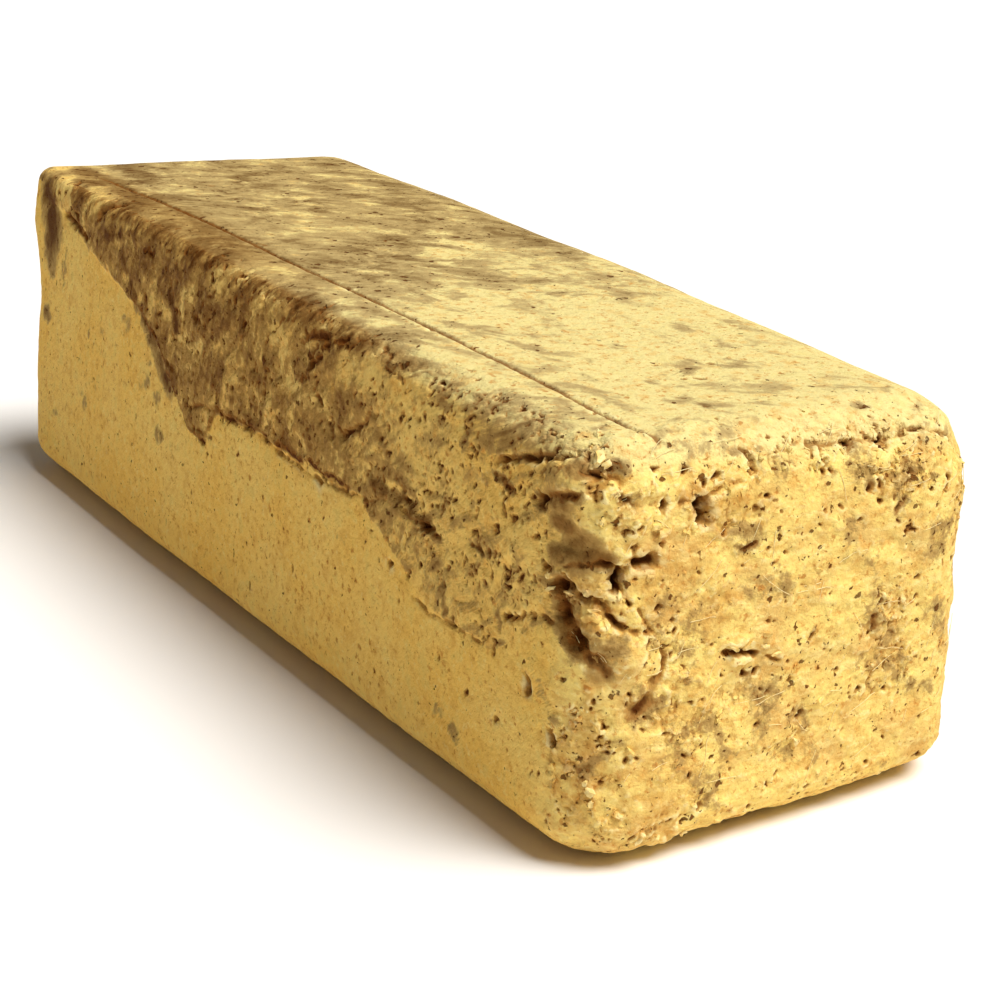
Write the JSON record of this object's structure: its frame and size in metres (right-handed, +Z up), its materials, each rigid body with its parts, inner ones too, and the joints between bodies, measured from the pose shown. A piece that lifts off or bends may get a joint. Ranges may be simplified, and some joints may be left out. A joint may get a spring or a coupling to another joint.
{
  "type": "marble halva loaf",
  "caption": "Long block of marbled sesame halva with rounded edges, a pressed crease along the top, a crumbling dark shoulder and a torn end.",
  "frame": {"origin": "middle of the flat base, under the middle of the loaf's bounding box", "axes": "+X along the loaf towards its torn end, +Z up, the side with the dark band faces -Y"},
  "size_m": [0.2916, 0.1024, 0.0831],
  "materials": {
    "halva": "dull, slightly oily, crumbly sesame paste marbled with cocoa"
  },
  "bodies": {
    "root": {"halva_loaf": "halva"}
  },
  "joints": []
}
